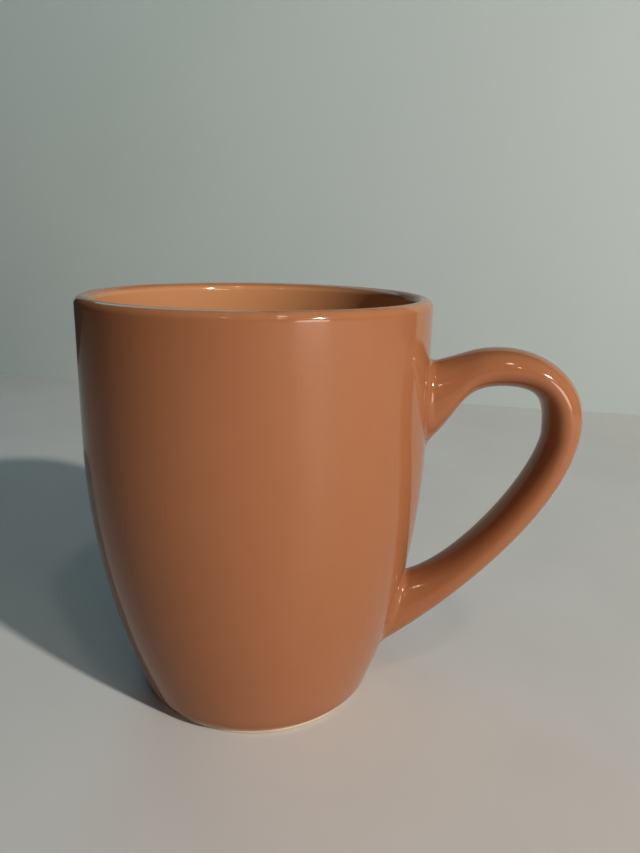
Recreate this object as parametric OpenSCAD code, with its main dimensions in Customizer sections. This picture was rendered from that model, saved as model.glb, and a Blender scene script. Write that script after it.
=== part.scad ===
// Glazed stoneware mug: a thrown-shape cup, a slip-cast handle luted on at two roots, and the
// glaze coats fired over them. The origin is on the cup's axis, in the plane the foot stands on.
// +Z is up and the handle points along +X.

/* [Cup] */
// Height from the table to the top of the lip
cup_height = 103; // [96:1:112]
// Diameter over the glazed straight band
rim_diameter = 85; // [80:1:92]
// Depth of the straight band, from the top of the lip down
band_depth = 33.5; // [28:0.5:38]
// Radius of the arc that the lower wall follows
belly_radius = 184; // [170:2:220]
// Radius of the turn from the wall into the foot
heel_radius = 5; // [4:0.5:7]
// Thickness of the glazed wall
wall_thickness = 4; // [3.5:0.25:5]
// Height of the inside floor above the table
floor_height = 6; // [5:0.5:8]
// Radius of the turn from the inside wall into the floor
inner_heel_radius = 12; // [8:1:15]

/* [Foot] */
// Outer diameter of the bare foot ring
foot_diameter = 56; // [54:0.5:57]
// Diameter of the recess inside the foot ring
recess_diameter = 48; // [44:1:50]
// Depth of that recess
recess_depth = 2; // [1:0.25:2.5]
// Rounding of the foot ring's outer edge
foot_edge = 0.6; // [0.3:0.1:1]
// Height of the heel's lowest point above the table
heel_lift = 0.6; // [0.4:0.1:0.8]
// Height at which the outside glaze stops
glaze_line = 1.4; // [1.2:0.1:1.6]

/* [Handle] */
// Width of the handle, across its loop
handle_width = 15; // [12:0.5:16]
// Squareness of the handle's section: 2 is an ellipse
section_power = 2.1; // [2:0.1:3.5]
// Reach of the fillet round each root, along the wall and along the handle
root_fillet = 2.25; // [1.5:0.25:4]
// Thickness of the slip between a root and the wall
slip_layer = 0.8; // [0.6:0.1:1]

/* [Glaze] */
// Thickness of the fired glaze
glaze = 0.3; // [0.2:0.05:0.4]

/* [Hidden] */

rim_radius = rim_diameter / 2;
lip_radius = wall_thickness / 2;
lip_z = cup_height - lip_radius;
band_z = cup_height - band_depth;
// Glaze in the recess stops this far short of its wall.
recess_glaze_gap = 0.5;
recess_glaze_radius = recess_diameter / 2 - recess_glaze_gap;
// The fillet sinks to the handle by this power of the distance left.
fillet_power = 1.6;

// The handle lies between two curves in the XZ plane. Each knot is
// [x, z, heading in degrees, handle length before it, handle length after it].
back_curve = [
    [37, 85.8, 12.5, 0, 16],
    [60.1, 91.1, 0, 8, 10.6],
    [80.1, 73.7, -90, 10.5, 27.2],
    [27.3, 8, -156, 9, 0],
];
palm_curve = [
    [37, 63.3, 32, 0, 17.4],
    [60.8, 82.5, 0, 13.5, 11],
    [71.8, 69.6, -90, 6.5, 8.5],
    [36, 30.1, -174, 16.8, 0],
];
handle_spans = len(back_curve) - 1;
rings_per_span = 16;
section_sides = 28;
// Where the stretches that hold the two roots' fillets end and start.
upper_root_end = 0.5;
lower_root_start = handle_spans - 0.375;
// A piece of an outline runs this far past its neighbour's edge, inside the neighbour.
overlap = 1;

$fn = 360;

// ---- Cup profiles, right of the axis ----

// Outline of a bowl with a straight band, a leaning wall on an arc, and a rounded heel.
// The wall stands back from the glazed outside by inset, and the bottom is at floor_z.
module bowl_outline(inset, heel, floor_z, top_z) {
    arc = belly_radius - inset;
    heel_z = floor_z + heel;
    lean = asin((band_z - heel_z) / (arc - heel));
    arc_x = rim_radius - belly_radius;
    heel_x = arc_x + (arc - heel) * cos(lean);
    join_x = arc_x + arc * cos(lean);
    join_z = band_z - arc * sin(lean);
    translate([0, band_z])
        square([rim_radius - inset, top_z - band_z]);
    intersection() {
        translate([arc_x, band_z])
            circle(arc, $fn = 720);
        translate([0, join_z])
            square([rim_radius, band_z - join_z + overlap]);
    }
    intersection() {
        translate([heel_x, heel_z])
            circle(heel);
        translate([heel_x, floor_z])
            square([heel, join_z - floor_z]);
    }
    polygon([[0, floor_z], [heel_x, floor_z], [heel_x, heel_z], [join_x, join_z], [0, join_z]]);
}

module outside_outline(inset, top_z = lip_z) {
    bowl_outline(inset, heel_radius - inset, heel_lift + inset, top_z);
}

// The hollow of the cup; a positive growth takes the glaze away.
module hollow_outline(growth) {
    bowl_outline(wall_thickness - growth, inner_heel_radius + growth, floor_height - growth, lip_z);
}

module lip_outline(radius) {
    translate([rim_radius - lip_radius, lip_z])
        circle(radius);
}

module foot_ring_outline() {
    ring_width = (foot_diameter - recess_diameter) / 2;
    ring_height = recess_depth + overlap;
    translate([recess_diameter / 2, 0])
        square([ring_width - foot_edge, ring_height]);
    translate([recess_diameter / 2, foot_edge])
        square([ring_width, ring_height - foot_edge]);
    translate([foot_diameter / 2 - foot_edge, foot_edge])
        circle(foot_edge);
}

// Everything inside the cup's clay wall, hollow included, grown outwards by growth.
module cup_blank(growth) {
    mirror([1, 0, 0])
        rotate_extrude()
            outside_outline(glaze - growth, cup_height);
}

// ---- Handle sweep ----

function bezier(a, b, c, d, t) =
    pow(1 - t, 3) * a + 3 * pow(1 - t, 2) * t * b + 3 * (1 - t) * t * t * c + pow(t, 3) * d;

function heading(knot) = [cos(knot[2]), sin(knot[2])];

function place(knot) = [knot[0], knot[1]];

// Point on a curve at u, which runs from 0 to the number of its spans.
function curve_point(curve, u) =
    let (
        span = min(floor(u), len(curve) - 2),
        from = curve[span],
        to = curve[span + 1]
    )
    bezier(place(from), place(from) + from[4] * heading(from),
           place(to) - to[3] * heading(to), place(to), u - span);

// Clay wall's radius at height z, and how far a point is outside that wall.
function wall_radius(z) =
    let (arc = belly_radius - glaze, drop = max(band_z - z, 0))
    rim_radius - belly_radius + sqrt(arc * arc - drop * drop);

function wall_distance(p) =
    let (lean = asin(max(band_z - p[2], 0) / (belly_radius - glaze)))
    (norm([p[0], p[1]]) - wall_radius(p[2])) * cos(lean);

// How far the fillet stands off the bare handle at a distance from the wall.
function fillet_rise(distance) =
    root_fillet * pow(1 - min(max(distance / root_fillet, 0), 1), fillet_power);

function signed_power(value, power) = sign(value) * pow(abs(value), power);

// A point of the handle's section at u and angle a, and the section's outward normal there.
function bare_point(u, a) =
    let (
        back = curve_point(back_curve, u),
        palm = curve_point(palm_curve, u),
        middle = (back + palm) / 2,
        across = (back - palm) / 2,
        c = signed_power(cos(a), 2 / section_power),
        s = signed_power(sin(a), 2 / section_power)
    )
    [middle[0] + across[0] * c, handle_width / 2 * s, middle[1] + across[1] * c];

function outward(u, a) =
    let (
        across = (curve_point(back_curve, u) - curve_point(palm_curve, u)) / 2,
        half_depth = norm(across),
        flattening = 2 * (section_power - 1) / section_power,
        c = signed_power(cos(a), flattening) / half_depth,
        s = signed_power(sin(a), flattening) / (handle_width / 2)
    )
    [c * across[0] / half_depth, s, c * across[1] / half_depth] / norm([c, s]);

// The same point on the filleted handle, or on a coat that stands offset outside it.
function skin_point(u, a, offset) =
    let (bare = bare_point(u, a))
    bare + (offset + fillet_rise(wall_distance(bare))) * outward(u, a);

function side_angle(j) = 360 * (j + 0.5) / section_sides;

function skin_points(from_u, to_u, rings, offset) = [
    for (i = [0:rings], j = [0:section_sides - 1])
        skin_point(from_u + (to_u - from_u) * i / rings, side_angle(j), offset)
];

function ring_count(from_u, to_u) = ceil((to_u - from_u) * rings_per_span);

function flipped(faces) = [for (f = faces) [f[2], f[1], f[0]]];

// Triangles between two rings of points that start at indices first and second.
function band_faces(first, second) = [
    for (j = [0:section_sides - 1], half = [0, 1])
        let (k = (j + 1) % section_sides)
        half == 0 ? [first + j, second + k, second + j] : [first + j, first + k, second + k]
];

function skin_faces(start, rings) = [
    for (i = [0:rings - 1])
        each band_faces(start + i * section_sides, start + (i + 1) * section_sides)
];

// Solid handle between the sections at from_u and to_u.
module handle_sweep(from_u, to_u) {
    rings = ring_count(from_u, to_u);
    first_cap = [for (j = [section_sides - 1:-1:0]) j];
    last_cap = [for (j = [0:section_sides - 1]) rings * section_sides + j];
    polyhedron(
        points = skin_points(from_u, to_u, rings, 0),
        faces = concat([first_cap], [last_cap], skin_faces(0, rings))
    );
}

// Coat over the whole handle, open at both ends.
module handle_coat() {
    rings = ring_count(0, handle_spans);
    inner = (rings + 1) * section_sides;
    last = rings * section_sides;
    polyhedron(
        points = concat(skin_points(0, handle_spans, rings, glaze),
                        skin_points(0, handle_spans, rings, 0)),
        faces = concat(skin_faces(0, rings), flipped(skin_faces(inner, rings)),
                       flipped(band_faces(0, inner)), band_faces(last, inner + last))
    );
}

// Where the bare handle's line at angle a enters the wall, between two values of u.
function entry_u(a, inside_u, outside_u, steps = 12) =
    let (middle = (inside_u + outside_u) / 2)
    steps == 0 ? middle
        : wall_distance(bare_point(middle, a)) > 0 ? entry_u(a, inside_u, middle, steps - 1)
        : entry_u(a, middle, outside_u, steps - 1);

// Prism through the wall with the outline that the coated root has there.
module root_window(inside_u, outside_u) {
    rotate([90, 0, 90])
        linear_extrude(rim_radius + overlap)
            polygon([
                for (j = [0:section_sides - 1])
                    let (
                        a = side_angle(j),
                        p = skin_point(entry_u(a, inside_u, outside_u), a, glaze)
                    )
                    [p[1], p[2]]
            ]);
}

// ---- Pieces ----

// Pressed clay wall, floor and foot ring in one piece.
module mug_body() {
    color([0.87, 0.80, 0.70])
        rotate_extrude()
            difference() {
                union() {
                    outside_outline(glaze);
                    lip_outline(lip_radius - glaze);
                    foot_ring_outline();
                }
                hollow_outline(glaze);
                square([recess_diameter / 2, recess_depth]);
                square([recess_glaze_radius, recess_depth + glaze]);
            }
}

// Solid cast strap with flared roots, cut to the wall with room for the slip.
module handle() {
    color([0.84, 0.77, 0.67])
        difference() {
            handle_sweep(0, handle_spans);
            cup_blank(slip_layer);
        }
}

// Slip between the wall and the root that is its child, smoothed out to the root's edge.
module slip_joint() {
    color([0.78, 0.70, 0.60])
        difference() {
            intersection() {
                children();
                cup_blank(slip_layer);
            }
            cup_blank(0);
        }
}

module upper_slip_joint() {
    slip_joint()
        handle_sweep(0, upper_root_end);
}

module lower_slip_joint() {
    slip_joint()
        handle_sweep(lower_root_start, handle_spans);
}

// Glaze on the outside, from the lip's middle down to the glaze line, open at the two roots.
module outer_glaze() {
    color([0.72, 0.42, 0.27])
        difference() {
            mirror([1, 0, 0])
                rotate_extrude()
                    difference() {
                        outside_outline(0);
                        outside_outline(glaze);
                        foot_ring_outline();
                        square([rim_radius, glaze_line]);
                    }
            root_window(0, upper_root_end);
            root_window(handle_spans, lower_root_start);
        }
}

// Glaze on the inside, carried over the lip.
module liner_glaze() {
    color([0.74, 0.44, 0.28])
        rotate_extrude()
            union() {
                difference() {
                    hollow_outline(glaze);
                    hollow_outline(0);
                }
                difference() {
                    lip_outline(lip_radius);
                    lip_outline(lip_radius - glaze);
                    square([rim_radius, lip_z]);
                }
            }
}

// Glaze over the handle and the edges of its two slip joints.
module handle_glaze() {
    color([0.72, 0.42, 0.27])
        difference() {
            handle_coat();
            cup_blank(0);
        }
}

// Glaze on the disc inside the foot ring, level with the clay round it.
module foot_recess_glaze() {
    color([0.70, 0.41, 0.26])
        translate([0, 0, recess_depth])
            cylinder(h = glaze, r = recess_glaze_radius);
}

mug_body();
handle();
upper_slip_joint();
lower_slip_joint();
outer_glaze();
liner_glaze();
handle_glaze();
foot_recess_glaze();
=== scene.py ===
"""Looks of a glazed stoneware mug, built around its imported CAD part.

The frame is the part's own: metres, +Z up, the cup's axis on Z and the handle towards +X.
Outlines and curves are written in millimetres and scaled once, when a mesh is made.
"""

import math

import bmesh
import bpy
import numpy as np
from mathutils import Matrix, Vector


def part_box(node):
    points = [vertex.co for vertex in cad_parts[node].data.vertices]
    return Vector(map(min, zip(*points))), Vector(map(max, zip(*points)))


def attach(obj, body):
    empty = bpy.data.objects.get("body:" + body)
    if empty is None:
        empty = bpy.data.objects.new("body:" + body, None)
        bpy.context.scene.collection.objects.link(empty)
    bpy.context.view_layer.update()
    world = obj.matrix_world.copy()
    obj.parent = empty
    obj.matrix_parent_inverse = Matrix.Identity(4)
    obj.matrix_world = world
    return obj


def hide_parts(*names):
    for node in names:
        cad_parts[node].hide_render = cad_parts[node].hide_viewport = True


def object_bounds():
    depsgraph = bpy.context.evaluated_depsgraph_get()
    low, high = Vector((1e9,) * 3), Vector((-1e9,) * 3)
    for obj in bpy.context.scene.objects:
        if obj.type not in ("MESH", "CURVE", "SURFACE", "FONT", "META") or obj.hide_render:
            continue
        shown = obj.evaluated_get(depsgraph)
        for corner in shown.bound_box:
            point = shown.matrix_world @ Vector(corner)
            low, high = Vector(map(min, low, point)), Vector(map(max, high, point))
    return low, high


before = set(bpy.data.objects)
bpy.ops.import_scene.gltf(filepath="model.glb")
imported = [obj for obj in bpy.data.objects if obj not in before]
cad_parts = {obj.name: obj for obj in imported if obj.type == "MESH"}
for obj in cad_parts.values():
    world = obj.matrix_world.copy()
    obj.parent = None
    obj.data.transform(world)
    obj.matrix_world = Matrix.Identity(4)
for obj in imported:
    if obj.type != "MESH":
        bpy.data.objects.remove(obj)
cad_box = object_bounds()

MM = 0.001

# ---- Sizes, in millimetres, as in the CAD part ----

RIM_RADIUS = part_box("outer_glaze")[1].y / MM
CUP_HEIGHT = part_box("liner_glaze")[1].z / MM
GLAZE_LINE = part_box("outer_glaze")[0].z / MM
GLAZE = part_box("outer_glaze")[1].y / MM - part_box("mug_body")[1].y / MM
RECESS_GLAZE_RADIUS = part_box("foot_recess_glaze")[1].y / MM
RECESS_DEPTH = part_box("foot_recess_glaze")[0].z / MM
RECESS_GLAZE_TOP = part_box("foot_recess_glaze")[1].z / MM
BAND_Z = CUP_HEIGHT - 33.5
BELLY_RADIUS = 184.0
BELLY_X = RIM_RADIUS - BELLY_RADIUS
HEEL_RADIUS = 5.0
HEEL_LIFT = 0.6
WALL = 4.0
LIP_RADIUS = WALL / 2
LIP_Z = CUP_HEIGHT - LIP_RADIUS
FLOOR_Z = 6.0
INNER_HEEL_RADIUS = 12.0
FOOT_RADIUS = 28.0
RECESS_RADIUS = 24.0
FOOT_EDGE = 0.6
SLIP = 0.8

# The handle lies between two chains of Bezier spans in the XZ plane. Each knot is
# (x, z, heading in degrees, handle length before it, handle length after it).
BACK_KNOTS = [
    (37, 85.8, 12.5, 0, 16),
    (60.1, 91.1, 0, 8, 10.6),
    (80.1, 73.7, -90, 10.5, 27.2),
    (27.3, 8, -156, 9, 0),
]
PALM_KNOTS = [
    (37, 63.3, 32, 0, 17.4),
    (60.8, 82.5, 0, 13.5, 11),
    (71.8, 69.6, -90, 6.5, 8.5),
    (36, 30.1, -174, 16.8, 0),
]
HANDLE_HALF_WIDTH = 7.5
SECTION_POWER = 2.1
FILLET_ON_HANDLE = 2.4
FILLET_ON_WALL = 2.2
# The fillet's edge lies this far under the outside glaze, so that the two skins cross cleanly.
FILLET_SINK = 0.06

# Mesh density
TURNS = 288
HANDLE_SIDES = 72
HANDLE_RINGS = 150
FILLET_RINGS = 14


# ---- Outlines of the cup, as (radius, height) points ----

def line(start, end, step=1.0):
    """Points from start to end, without the end."""
    start, end = np.array(start, float), np.array(end, float)
    count = max(1, math.ceil(np.linalg.norm(end - start) / step))
    return start + (end - start) * (np.arange(count) / count)[:, None]


def arc(centre, radius, start, end, step=1.0, fewest=8):
    """Points along an arc from angle start to angle end, in degrees, without the end."""
    a, b = math.radians(start), math.radians(end)
    count = max(fewest, math.ceil(abs(b - a) * radius / step))
    angle = a + (b - a) * np.arange(count) / count
    return np.stack([centre[0] + radius * np.cos(angle), centre[1] + radius * np.sin(angle)], -1)


def bowl(inset, heel, floor_z):
    """The lean in degrees where the belly meets the heel, the belly's radius and the heel's centre."""
    belly = BELLY_RADIUS - inset
    heel_z = floor_z + heel
    lean = math.asin((BAND_Z - heel_z) / (belly - heel))
    return math.degrees(lean), belly, (BELLY_X + (belly - heel) * math.cos(lean), heel_z)


def outside_wall(inset, bottom_z):
    """From bottom_z on the heel up to the lip, standing back from the glaze by inset."""
    heel = HEEL_RADIUS - inset
    lean, belly, centre = bowl(inset, heel, HEEL_LIFT + inset)
    start = math.degrees(math.asin((bottom_z - centre[1]) / heel))
    return np.concatenate([
        arc(centre, heel, start, -lean, 0.4),
        arc((BELLY_X, BAND_Z), belly, -lean, 0),
        line((RIM_RADIUS - inset, BAND_Z), (RIM_RADIUS - inset, LIP_Z)),
    ])


def inside_wall(growth):
    """From the lip down to the middle of the floor; a positive growth takes glaze away."""
    heel = INNER_HEEL_RADIUS + growth
    floor_z = FLOOR_Z - growth
    lean, belly, centre = bowl(WALL - growth, heel, floor_z)
    inner = RIM_RADIUS - WALL + growth
    return np.concatenate([
        line((inner, LIP_Z), (inner, BAND_Z)),
        arc((BELLY_X, BAND_Z), belly, 0, -lean),
        arc(centre, heel, -lean, -90, 0.8),
        line((centre[0], floor_z), (0, floor_z)),
        [(0, floor_z)],
    ])


def lip(inset):
    """Over the lip, from outside to inside."""
    return arc((RIM_RADIUS - LIP_RADIUS, LIP_Z), LIP_RADIUS - inset, 0, 180, 0.2)


def foot_ring():
    """From the middle of the recess out and under the bare ring, up to where it meets the heel."""
    inner, outer, edge = RECESS_RADIUS, FOOT_RADIUS, FOOT_EDGE
    clay_heel = HEEL_RADIUS - GLAZE
    centre = bowl(GLAZE, clay_heel, HEEL_LIFT + GLAZE)[2]
    meeting_z = centre[1] - math.sqrt(clay_heel ** 2 - (outer - centre[0]) ** 2)
    path = np.concatenate([
        line((0, RECESS_GLAZE_TOP), (RECESS_GLAZE_RADIUS, RECESS_GLAZE_TOP), 2.0),
        line((RECESS_GLAZE_RADIUS, RECESS_GLAZE_TOP), (RECESS_GLAZE_RADIUS, RECESS_DEPTH), 0.1),
        line((RECESS_GLAZE_RADIUS, RECESS_DEPTH), (inner, RECESS_DEPTH), 0.2),
        line((inner, RECESS_DEPTH), (inner, edge), 0.5),
        arc((inner + edge, edge), edge, 180, 270, 0.1),
        line((inner + edge, 0), (outer - edge, 0), 0.7),
        arc((outer - edge, edge), edge, -90, 0, 0.1),
        line((outer, edge), (outer, meeting_z), 0.3),
    ])
    return path, meeting_z


# ---- Handle surfaces ----

def bezier(a, b, c, d, t):
    return (1 - t) ** 3 * a + 3 * (1 - t) ** 2 * t * b + 3 * (1 - t) * t * t * c + t ** 3 * d


def chain_points(knots, u):
    """Points (x, z) on a chain of spans at each u, which runs from 0 to the number of spans."""
    span = np.minimum(np.floor(u).astype(int), len(knots) - 2)
    k = np.array(knots, float)
    ahead = np.stack([np.cos(np.radians(k[:, 2])), np.sin(np.radians(k[:, 2]))], -1)
    place = k[:, :2]
    a, d = place[span], place[span + 1]
    b = a + k[span, 4, None] * ahead[span]
    c = d - k[span + 1, 3, None] * ahead[span + 1]
    return bezier(a, b, c, d, (u - span)[..., None])


def signed_power(value, power):
    return np.sign(value) * np.abs(value) ** power


def handle_points(u, angle, offset):
    """Points of the handle's skin at u and section angle, standing offset outside the clay."""
    back, palm = chain_points(BACK_KNOTS, u), chain_points(PALM_KNOTS, u)
    middle, across = (back + palm) / 2, (back - palm) / 2
    depth = np.linalg.norm(across, axis=-1)
    c, s = np.cos(angle), np.sin(angle)
    x, y = signed_power(c, 2 / SECTION_POWER), signed_power(s, 2 / SECTION_POWER)
    flat = 2 * (SECTION_POWER - 1) / SECTION_POWER
    nx, ny = signed_power(c, flat) / depth, signed_power(s, flat) / HANDLE_HALF_WIDTH
    length = np.hypot(nx, ny)
    nx, ny = nx / length, ny / length
    unit = across / depth[..., None]
    return np.stack([
        middle[..., 0] + across[..., 0] * x + offset * nx * unit[..., 0],
        HANDLE_HALF_WIDTH * y + offset * ny,
        middle[..., 1] + across[..., 1] * x + offset * nx * unit[..., 1],
    ], -1)


def wall_normal(p):
    """Outward normal of the cup's wall beside each point."""
    lean = np.arcsin(np.maximum(BAND_Z - p[..., 2], 0) / BELLY_RADIUS)
    around = np.hypot(p[..., 0], p[..., 1])
    return np.stack([
        p[..., 0] / around * np.cos(lean),
        p[..., 1] / around * np.cos(lean),
        -np.sin(lean),
    ], -1)


def wall_distance(p, offset):
    """How far each point is outside the clay wall grown by offset."""
    belly = BELLY_RADIUS - GLAZE + offset
    out = np.hypot(p[..., 0], p[..., 1]) - BELLY_X
    drop = np.maximum(BAND_Z - p[..., 2], 0)
    return np.hypot(out, drop) - belly


def onto_wall(p, offset):
    """Each point moved along the wall's normal, onto the clay wall grown by offset."""
    for _ in range(3):
        p = p - wall_distance(p, offset)[..., None] * wall_normal(p)
    return p


def along(points, distance):
    """The point and the place in the list that lie at a distance along each row of points."""
    steps = np.linalg.norm(np.diff(points, axis=1), axis=-1)
    run = np.concatenate([np.zeros((len(points), 1)), np.cumsum(steps, axis=1)], axis=1)
    found = [np.interp(distance, run[i], np.arange(points.shape[1])) for i in range(len(points))]
    return np.array(found)


def pick(points, place):
    """The points at fractional places in each row."""
    low = np.minimum(place.astype(int), points.shape[1] - 2)
    share = (place - low)[:, None]
    rows = np.arange(len(points))
    return points[rows, low] * (1 - share) + points[rows, low + 1] * share


def root(angle, u_inside, u_outside, offset):
    """One root of the handle: u where the fillet starts on the handle, and the fillet's rings from
    there onto the wall, as (rings, sides, 3)."""
    u = np.linspace(u_inside, u_outside, 800)[None, :] + np.zeros((len(angle), 1))
    points = handle_points(u, angle[:, None], offset)
    outside = wall_distance(points, offset) > 0
    entry = np.argmax(outside, axis=1)
    rows = np.arange(len(angle))
    near = wall_distance(points[rows, entry - 1], offset)
    far = wall_distance(points[rows, entry], offset)
    place = entry - 1 + near / (near - far)
    corner = onto_wall(pick(points, place), offset)
    start_place = np.array([
        along(points[i:i + 1, entry[i]:], FILLET_ON_HANDLE)[0] + entry[i] for i in rows
    ])
    start = pick(points, start_place)
    heading = pick(points, start_place - 1.5) - start
    heading /= np.linalg.norm(heading, axis=-1)[:, None]
    tangent = np.roll(corner, -1, axis=0) - np.roll(corner, 1, axis=0)
    outward = np.cross(tangent, wall_normal(corner))
    outward /= np.linalg.norm(outward, axis=-1)[:, None]
    if np.sum(outward * (corner - corner.mean(axis=0))) < 0:
        outward = -outward
    end = onto_wall(corner + FILLET_ON_WALL * outward, offset - FILLET_SINK)
    normal = wall_normal(end)
    back = corner - end
    back -= np.sum(back * normal, axis=-1)[:, None] * normal
    reach = np.linalg.norm(corner - start, axis=-1)[:, None]
    pull = 0.62
    t = np.linspace(0, 1, FILLET_RINGS + 1)[:, None, None]
    rings = bezier(start, start + pull * reach * heading, end + pull * back, end, t)
    return pick(u[..., None], start_place)[:, 0], rings


def handle_skin(offset):
    """The whole skin from wall to wall, as (rings, sides, 3), with a 0 to 1 share of fillet."""
    angle = 2 * math.pi * (np.arange(HANDLE_SIDES) + 0.5) / HANDLE_SIDES
    spans = len(BACK_KNOTS) - 1
    top_u, top = root(angle, 0.0, 0.9, offset)
    low_u, low = root(angle, float(spans), spans - 0.9, offset)
    share = (np.arange(1, HANDLE_RINGS) / HANDLE_RINGS)[:, None]
    u = top_u + (low_u - top_u) * share
    middle = handle_points(u, angle[None, :] + 0 * u, offset)
    skin = np.concatenate([top[::-1], middle, low])
    fillet = np.linspace(1, 0, FILLET_RINGS + 1)
    share = np.concatenate([fillet, np.zeros(HANDLE_RINGS - 1), fillet[::-1]])
    return skin, share


# ---- Meshes ----

def grid_faces(first, rows, columns, wrap_rows=False):
    """Quads between the rows of a grid of vertices whose columns close on themselves."""
    faces = []
    for i in range(rows if wrap_rows else rows - 1):
        k = (i + 1) % rows
        for j in range(columns):
            m = (j + 1) % columns
            faces.append((first + i * columns + j, first + i * columns + m,
                          first + k * columns + m, first + k * columns + j))
    return faces


def make_mesh(name, points, faces, material, replaced, sharp=40):
    """A smooth-shaded piece that rides on the one body and stands for its CAD node."""
    mesh = bpy.data.meshes.new(name)
    mesh.from_pydata([tuple(p) for p in np.asarray(points) * MM], [], faces)
    bm = bmesh.new()
    bm.from_mesh(mesh)
    bmesh.ops.recalc_face_normals(bm, faces=bm.faces)
    bm.to_mesh(mesh)
    bm.free()
    mesh.shade_smooth()
    mesh.set_sharp_from_angle(angle=math.radians(sharp))
    mesh.materials.append(material)
    piece = bpy.data.objects.new(name, mesh)
    bpy.context.scene.collection.objects.link(piece)
    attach(piece, "root")
    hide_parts(replaced)
    return piece


def lathe(name, path, closed, material, replaced):
    """A solid of revolution. A closed path joins its last point to its first; an open one starts
    and ends on the axis."""
    angle = 2 * math.pi * np.arange(TURNS) / TURNS
    points, rings = [], []
    for r, z in path:
        if r < 1e-6:
            rings.append((len(points), 1))
            points.append((0, 0, z))
        else:
            rings.append((len(points), TURNS))
            points.extend(zip(r * np.cos(angle), r * np.sin(angle), np.full(TURNS, z)))
    faces = []
    pairs = list(zip(rings, rings[1:]))
    if closed:
        pairs.append((rings[-1], rings[0]))
    for (a, count_a), (b, count_b) in pairs:
        for j in range(TURNS):
            k = (j + 1) % TURNS
            if count_a == 1:
                faces.append((a, b + j, b + k))
            elif count_b == 1:
                faces.append((a + j, b, a + k))
            else:
                faces.append((a + j, a + k, b + k, b + j))
    return make_mesh(name, points, faces, material, replaced)


def paint(piece, name, rule):
    """Stores rule(points in millimetres) on the mesh as a per-vertex number."""
    mesh = piece.data
    co = np.zeros(len(mesh.vertices) * 3)
    mesh.vertices.foreach_get("co", co)
    values = np.clip(rule(co.reshape(-1, 3) / MM), 0, 1)
    attribute = mesh.attributes.new(name, "FLOAT", "POINT")
    attribute.data.foreach_set("value", values.astype(np.float32))


def bump_curve(value, middle, width):
    return np.exp(-((value - middle) / width) ** 2)


def cup_thin(p):
    """Where the glaze runs thin: over the lip, and at its lower edge."""
    crest = np.clip((p[:, 2] - LIP_Z) / LIP_RADIUS, 0, 1) ** 1.5
    hem = np.exp(-np.maximum(p[:, 2] - GLAZE_LINE, 0) / 0.5)
    return crest + 0.8 * hem * (p[:, 2] < FLOOR_Z)


def cup_pool(p):
    """Where the glaze lies thick: round the outside heel and round the inside floor."""
    radius = np.hypot(p[:, 0], p[:, 1])
    outside = bump_curve(p[:, 2], 3.2, 1.6) * (radius > FOOT_RADIUS)
    inside = bump_curve(radius, 20, 5) * (p[:, 2] < 12) * (radius < FOOT_RADIUS)
    return 0.7 * outside + 0.5 * inside


# ---- Materials ----

# Each colour is linear red, green and blue.
GLAZE_DEEP = (0.303, 0.127, 0.060)
GLAZE_LIGHT = (0.319, 0.135, 0.065)
GLAZE_INSIDE_PAINTED_LIGHT = (0.51, 0.255, 0.125)
# Painted light: a paler copy of the glaze for the inside of the cup, standing in for the light that falls
# there.
GLAZE_THIN = (0.47, 0.26, 0.14)
GLAZE_POOLED = (0.22, 0.082, 0.034)
GLAZE_SPECK = (0.16, 0.07, 0.035)
CLAY_SPECK = (0.22, 0.13, 0.08)
CLAY_RUBBED = (0.33, 0.30, 0.26)
# The painted-light paler inside fades out between these distances beyond the mouth's radius, in
# millimetres.
LIP_FADE_START = 0.1
LIP_FADE_END = 0.7


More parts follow.
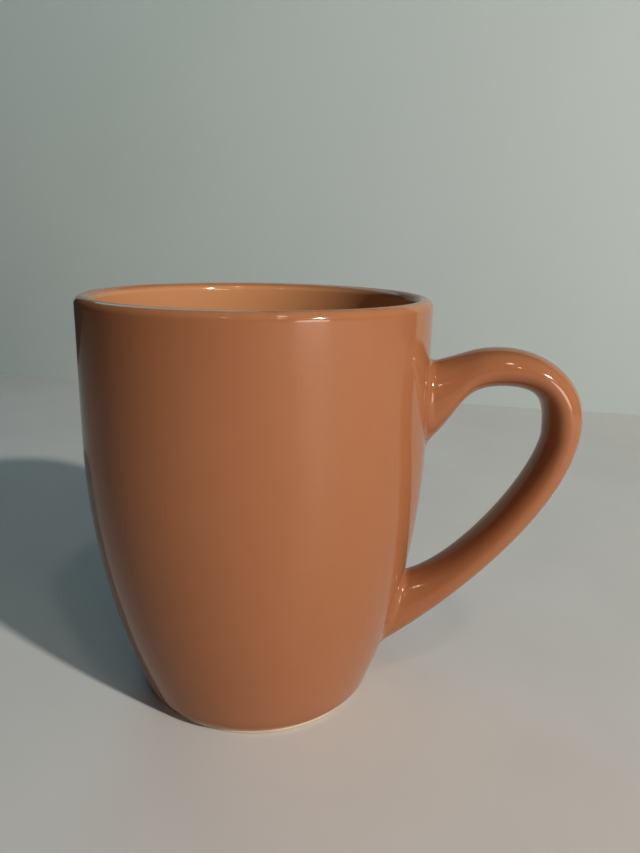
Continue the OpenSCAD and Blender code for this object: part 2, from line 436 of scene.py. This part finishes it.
class Nodes:
    """Short names for building one material's node tree."""

    def __init__(self, name):
        self.material = bpy.data.materials.new(name)
        self.material.use_nodes = True
        self.tree = self.material.node_tree
        self.shader = self.tree.nodes["Principled BSDF"]
        self.place = self.add("ShaderNodeTexCoord").outputs["Object"]

    def add(self, kind, **values):
        node = self.tree.nodes.new(kind)
        for key, value in values.items():
            setattr(node, key, value)
        return node

    def link(self, source, target):
        self.tree.links.new(source, target)

    def put(self, value, target):
        """Links an output to a socket, or sets a plain value on it."""
        if isinstance(value, bpy.types.NodeSocket):
            self.link(value, target)
        else:
            target.default_value = value

    def noise(self, size, detail=3.0, roughness=0.5):
        """Noise whose features are about size millimetres across, from 0 to 1."""
        node = self.add("ShaderNodeTexNoise")
        self.link(self.place, node.inputs["Vector"])
        node.inputs["Scale"].default_value = 1 / (size * MM)
        node.inputs["Detail"].default_value = detail
        node.inputs["Roughness"].default_value = roughness
        return node.outputs["Fac"]

    def math(self, operation, a, b=0.0, clamp=False):
        node = self.add("ShaderNodeMath", operation=operation, use_clamp=clamp)
        self.put(a, node.inputs[0])
        self.put(b, node.inputs[1])
        return node.outputs[0]

    def spread(self, value, low, high, to_low=0.0, to_high=1.0):
        """Maps low..high onto to_low..to_high, clamped."""
        node = self.add("ShaderNodeMapRange")
        self.put(value, node.inputs["Value"])
        for key, number in (("From Min", low), ("From Max", high), ("To Min", to_low), ("To Max", to_high)):
            node.inputs[key].default_value = number
        return node.outputs["Result"]

    def mix(self, share, a, b):
        node = self.add("ShaderNodeMix", data_type="RGBA")
        self.put(share, node.inputs["Factor"])
        self.put(a if isinstance(a, bpy.types.NodeSocket) else (*a, 1), node.inputs["A"])
        self.put(b if isinstance(b, bpy.types.NodeSocket) else (*b, 1), node.inputs["B"])
        return node.outputs["Result"]

    def painted(self, name):
        return self.add("ShaderNodeAttribute", attribute_name=name).outputs["Fac"]

    def specks(self, spacing, size, rarity):
        """Round specks: a cell of spacing millimetres has one with a chance of 1 - rarity."""
        node = self.add("ShaderNodeTexVoronoi")
        self.link(self.place, node.inputs["Vector"])
        node.inputs["Scale"].default_value = 1 / (spacing * MM)
        chosen = self.add("ShaderNodeSeparateColor")
        self.link(node.outputs["Color"], chosen.inputs["Color"])
        near = self.spread(node.outputs["Distance"], size / spacing, 0.4 * size / spacing)
        return self.math("MULTIPLY", near, self.math("GREATER_THAN", chosen.outputs["Red"], rarity))

    def bump(self, height, distance, under=None):
        """Bump of height 0 to 1 that stands distance millimetres high, over another bump."""
        node = self.add("ShaderNodeBump")
        self.link(height, node.inputs["Height"])
        node.inputs["Distance"].default_value = distance * MM
        if under is not None:
            self.link(under, node.inputs["Normal"])
        return node.outputs["Normal"]

    def from_axis(self):
        """Distance from the cup's axis, in metres."""
        flat = self.add("ShaderNodeVectorMath")
        flat.operation = "MULTIPLY"
        self.link(self.place, flat.inputs[0])
        flat.inputs[1].default_value = (1, 1, 0)
        length = self.add("ShaderNodeVectorMath")
        length.operation = "LENGTH"
        self.link(flat.outputs["Vector"], length.inputs[0])
        return length.outputs["Value"]

    def finish(self, color, roughness, normal):
        self.put(color, self.shader.inputs["Base Color"])
        self.put(roughness, self.shader.inputs["Roughness"])
        self.put(normal, self.shader.inputs["Normal"])
        return self.material


def glaze_material(name, inside):
    """Glossy terracotta glaze: cloudy colour, paler where thin, deeper where it pooled.
    With inside set, it turns paler from the lip inwards: painted light, a paler copy of the glaze standing
    in for the light the inside of the cup catches."""
    n = Nodes(name)
    cloud = n.noise(38, 3)
    mottle = n.noise(5, 4, 0.6)
    share = n.math("ADD", n.math("MULTIPLY", cloud, 0.6), n.math("MULTIPLY", mottle, 0.4))
    body = n.mix(n.spread(share, 0.34, 0.66), GLAZE_DEEP, GLAZE_LIGHT)
    if inside:
        # Painted light: inside the mouth the glaze turns to the paler inside colour.
        mouth = RIM_RADIUS - WALL
        start, end = (mouth + LIP_FADE_START) * MM, (mouth + LIP_FADE_END) * MM
        painted_light_share = n.spread(n.from_axis(), start, end, 1.0, 0.0)
        body = n.mix(painted_light_share, body, GLAZE_INSIDE_PAINTED_LIGHT)
    broken = n.math("MULTIPLY", n.painted("glaze_thin"), n.spread(mottle, 0.3, 0.6, 0.6, 1.0))
    body = n.mix(n.math("MULTIPLY", broken, 0.5), body, GLAZE_THIN)
    body = n.mix(n.math("MULTIPLY", n.painted("glaze_pool"), 0.4), body, GLAZE_POOLED)
    iron = n.specks(3.2, 0.16, 0.82)
    body = n.mix(n.math("MULTIPLY", iron, 0.5), body, GLAZE_SPECK)
    smear = n.noise(22, 5, 0.65)
    roughness = n.math("ADD", n.spread(smear, 0.35, 0.7, 0.05, 0.11), n.math("MULTIPLY", mottle, 0.03))
    waves = n.bump(n.noise(24, 1), 0.10)
    peel = n.bump(n.noise(2.6, 2), 0.012, waves)
    pits = n.bump(n.math("SUBTRACT", 1.0, n.specks(4.5, 0.22, 0.86)), 0.03, peel)
    n.shader.inputs["IOR"].default_value = 1.46
    n.shader.inputs["Specular IOR Level"].default_value = 0.42
    return n.finish(body, roughness, pits)


def clay_material(name, light, dark, grain):
    """Bare fired stoneware: warm buff with iron specks, rubbed grey where it meets the table."""
    n = Nodes(name)
    body = n.mix(n.spread(n.noise(9, 4, 0.6), 0.35, 0.65), dark, light)
    body = n.mix(n.math("MULTIPLY", n.specks(1.6, 0.2, 0.7), 0.6), body, CLAY_SPECK)
    height = n.add("ShaderNodeSeparateXYZ")
    n.link(n.place, height.inputs[0])
    low = n.spread(height.outputs["Z"], 0.0004, 0.0, 0.0, 1.0)
    rubbed = n.math("MULTIPLY", low, n.spread(n.noise(2.5, 4, 0.7), 0.45, 0.6))
    body = n.mix(n.math("MULTIPLY", rubbed, 0.45), body, CLAY_RUBBED)
    roughness = n.math("SUBTRACT", n.spread(n.noise(4, 3), 0.3, 0.7, 0.78, 0.9),
                       n.math("MULTIPLY", rubbed, 0.2))
    rough = n.bump(n.noise(grain, 4, 0.7), 0.06)
    return n.finish(body, roughness, rough)


def plain_material(name, dark, light, size, roughness, grain):
    """A quiet stage surface with a faint cloudiness."""
    n = Nodes(name)
    body = n.mix(n.spread(n.noise(size, 4, 0.6), 0.35, 0.65), dark, light)
    return n.finish(body, roughness, n.bump(n.noise(grain, 3), 0.02))


# ---- Pieces ----

def build_cup(glaze, liner, clay):
    """The clay cup and the three coats on it."""
    foot, meeting_z = foot_ring()
    clay_path = np.concatenate([foot, outside_wall(GLAZE, meeting_z), lip(GLAZE), inside_wall(GLAZE)])
    lathe("cup_clay", clay_path, False, clay, "mug_body")

    skin = outside_wall(0, GLAZE_LINE)
    under = outside_wall(GLAZE, GLAZE_LINE)[::-1]
    hem_centre = (skin[0] + under[-1]) / 2
    across = skin[0] - hem_centre
    turn = math.degrees(math.atan2(across[1], across[0]))
    hem = arc(hem_centre, np.linalg.norm(across), turn - 180, turn, 0.05, 6)[1:]
    top = [(RIM_RADIUS, LIP_Z), (RIM_RADIUS - GLAZE, LIP_Z)]
    outside = lathe("outside_glaze", np.concatenate([skin, top, under, hem]), True,
                    glaze, "outer_glaze")

    skin = np.concatenate([lip(0), inside_wall(0)])
    under = np.concatenate([lip(GLAZE), inside_wall(GLAZE)])[::-1]
    inside = lathe("inside_glaze", np.concatenate([skin, under]), True,
                   liner, "liner_glaze")

    edge = GLAZE * 0.9
    r, z = RECESS_GLAZE_RADIUS, RECESS_GLAZE_TOP
    disc = np.concatenate([
        line((0, z - GLAZE), (r - edge, z - GLAZE), 2.0),
        arc((r - edge, z - GLAZE + edge), edge, -90, 0, 0.05),
        line((r, z - GLAZE + edge), (r, z), 0.1),
        line((r, z), (0, z), 2.0),
        [(0, z)],
    ])
    recess = lathe("foot_recess_coat", disc, False, glaze, "foot_recess_glaze")
    for piece in (outside, inside, recess):
        paint(piece, "glaze_thin", cup_thin)
        paint(piece, "glaze_pool", cup_pool)


def wall_cap(outline, offset, rings=5):
    """Rings from an outline in to its middle, all on the clay wall grown by offset."""
    middle = outline.mean(axis=0)
    inner = [middle + (outline - middle) * (1 - i / rings) for i in range(1, rings)]
    return [onto_wall(ring, offset) for ring in inner], onto_wall(middle[None], offset)


def closed_tube(rings, start_cap, end_cap):
    """Points and faces of a tube of rings that is closed by a cap at each end."""
    caps_in, first_middle = start_cap
    caps_out, last_middle = end_cap
    layers = list(reversed(caps_in)) + list(rings) + list(caps_out)
    sides = len(layers[0])
    points = np.concatenate([np.concatenate(layers), first_middle, last_middle])
    faces = grid_faces(0, len(layers), sides)
    first, last = len(layers) * sides, len(layers) * sides + 1
    base = (len(layers) - 1) * sides
    for j in range(sides):
        k = (j + 1) % sides
        faces.append((first, k, j))
        faces.append((last, base + j, base + k))
    return points, faces


def resample(points, count):
    """Each side's points, spaced evenly from its first to its last, as (count, sides, 3)."""
    out = np.empty((count, points.shape[1], 3))
    for j in range(points.shape[1]):
        steps = np.linalg.norm(np.diff(points[:, j], axis=0), axis=-1)
        run = np.concatenate([[0], np.cumsum(steps)])
        at = np.linspace(0, run[-1], count)
        for axis in range(3):
            out[:, j, axis] = np.interp(at, run, points[:, j, axis])
    return out


def cut_fillet(rings):
    """The fillet's rings above and below the slip's top, both from the handle to the wall."""
    fine = resample(rings, 400)
    distance = wall_distance(fine, 0.0)
    sides = rings.shape[1]
    crossing = [int(np.argmax(distance[:, j] < SLIP)) for j in range(sides)]
    above = np.stack([resample(fine[:crossing[j] + 1, j:j + 1], FILLET_RINGS)[:, 0]
                      for j in range(sides)], axis=1)
    below = np.stack([resample(fine[crossing[j]:, j:j + 1], FILLET_RINGS // 2)[:, 0]
                      for j in range(sides)], axis=1)
    return above, below


def build_handle(glaze, clay, slip):
    """The clay handle, the slip under its two roots and the coat over all three."""
    outer, fillet = handle_skin(GLAZE)
    inner, _ = handle_skin(0.0)
    rings, sides = outer.shape[:2]
    points = np.concatenate([outer.reshape(-1, 3), inner[::-1].reshape(-1, 3)])
    faces = grid_faces(0, 2 * rings, sides, wrap_rows=True)
    coat = make_mesh("handle_coat", points, faces, glaze, "handle_glaze", 50)
    share = np.concatenate([np.repeat(fillet, sides), np.repeat(fillet[::-1], sides)])
    paint(coat, "glaze_pool", lambda p: 0.75 * np.sin(np.pi * share) ** 2)
    paint(coat, "glaze_thin", lambda p: 0.25 * bump_curve(np.abs(p[:, 1]), HANDLE_HALF_WIDTH * 0.8, 1.2)
          * (share == 0))

    top_above, top_below = cut_fillet(inner[:FILLET_RINGS + 1][::-1])
    low_above, low_below = cut_fillet(inner[-FILLET_RINGS - 1:])
    middle = inner[FILLET_RINGS + 1:-FILLET_RINGS - 1]
    core = np.concatenate([top_above[::-1], middle, low_above])
    points, faces = closed_tube(core, wall_cap(core[0], SLIP), wall_cap(core[-1], SLIP))
    make_mesh("handle_clay", points, faces, clay, "handle")
    for name, below, node in (("upper_slip", top_below, "upper_slip_joint"),
                              ("lower_slip", low_below, "lower_slip_joint")):
        points, faces = closed_tube(below, wall_cap(below[0], SLIP), wall_cap(below[-1], 0.0))
        make_mesh(name, points, faces, slip, node)


# ---- Stage, light and camera ----

CAMERA_PLACE = Vector((24.8, -176.2, 116.8)) * MM
CAMERA_YAW = 2.88
CAMERA_PITCH = -14.82
CAMERA_ROLL = 1.09
CAMERA_LENS = 30.39

# The stage, in metres and degrees
FLOOR_HALF = 3.0
WALL_BEHIND = 0.354
WALL_TURN = -8.6
WALL_LEFT = -0.36
WALL_RIGHT = 0.40
WALL_HEIGHT = 0.34


def place_camera():
    data = bpy.data.cameras.new("camera")
    data.lens = CAMERA_LENS
    data.sensor_width = 36
    data.clip_start = 0.01
    camera = bpy.data.objects.new("camera", data)
    bpy.context.scene.collection.objects.link(camera)
    turn = (Matrix.Rotation(math.radians(CAMERA_YAW), 4, "Z")
            @ Matrix.Rotation(math.radians(90 + CAMERA_PITCH), 4, "X")
            @ Matrix.Rotation(math.radians(CAMERA_ROLL), 4, "Z"))
    camera.matrix_world = Matrix.Translation(CAMERA_PLACE) @ turn
    bpy.context.scene.camera = camera


def stage_sheet(name, corners, material):
    """A flat stage surface of one face."""
    mesh = bpy.data.meshes.new(name)
    mesh.from_pydata(corners, [], [(0, 1, 2, 3)])
    mesh.materials.append(material)
    sheet = bpy.data.objects.new(name, mesh)
    bpy.context.scene.collection.objects.link(sheet)
    sheet.matrix_world = Matrix.Rotation(math.radians(WALL_TURN), 4, "Z")


def build_stage():
    half, back, height = FLOOR_HALF, WALL_BEHIND, WALL_HEIGHT
    left, right = WALL_LEFT, WALL_RIGHT
    floor = plain_material("floor", (0.58, 0.555, 0.53), (0.63, 0.605, 0.58), 160, 0.55, 2)
    wall = plain_material("wall", (0.42, 0.47, 0.455), (0.45, 0.50, 0.485), 400, 0.8, 3)
    stage_sheet("studio_floor", [
        (-half, -half, 0), (half, -half, 0), (half, back, 0), (-half, back, 0),
    ], floor)
    stage_sheet("studio_wall", [
        (left, back, 0), (right, back, 0), (right, back, height), (left, back, height),
    ], wall)


def area_light(name, azimuth, elevation, distance, size, power, color):
    """A round soft light that looks at the mug. Azimuth runs from +X towards +Y."""
    a, e = math.radians(azimuth), math.radians(elevation)
    aim = (cad_box[0] + cad_box[1]) / 2
    away = Vector((math.cos(a) * math.cos(e), math.sin(a) * math.cos(e), math.sin(e)))
    data = bpy.data.lights.new(name, "AREA")
    data.shape = "DISK"
    data.size = size
    data.energy = power
    data.color = color
    light = bpy.data.objects.new(name, data)
    bpy.context.scene.collection.objects.link(light)
    light.location = aim + away * distance
    light.rotation_mode = "QUATERNION"
    light.rotation_quaternion = away.to_track_quat("Z", "Y")


def light_studio():
    area_light("key", -43, 30, 1.3, 0.06, 12.5, (1.0, 0.99, 0.95))
    area_light("low_fill", -50, 5, 1.2, 0.45, 4.2, (1.0, 0.86, 0.77))
    area_light("sky", 122, 42, 0.6, 0.36, 0.40, (0.42, 0.80, 1.0))
    area_light("lamp_high", -62, 58, 1.3, 0.10, 0.9, (1.0, 0.93, 0.85))
    area_light("lamp_middle", -68, 33, 1.6, 0.03, 0.4, (1.0, 0.93, 0.85))
    area_light("lamp_left", -104, 36, 1.4, 0.03, 0.35, (1.0, 0.90, 0.80))
    world = bpy.data.worlds.new("studio")
    bpy.context.scene.world = world
    world.use_nodes = True
    world.node_tree.nodes["Background"].inputs["Color"].default_value = (0.17, 0.27, 0.30, 1)
    world.node_tree.nodes["Background"].inputs["Strength"].default_value = 0.12
    bpy.context.scene.view_settings.view_transform = "Standard"
    bpy.context.scene.view_settings.look = "Medium High Contrast"


glaze = glaze_material("terracotta_glaze", False)
# The liner's paler inside colour is painted light.
liner = glaze_material("terracotta_liner_painted_light_glaze", True)
stoneware = clay_material("stoneware", (0.56, 0.44, 0.32), (0.48, 0.37, 0.26), 0.5)
slip = clay_material("slip", (0.50, 0.40, 0.30), (0.44, 0.34, 0.24), 0.3)
build_cup(glaze, liner, stoneware)
build_handle(glaze, stoneware, slip)
build_stage()
light_studio()
place_camera()
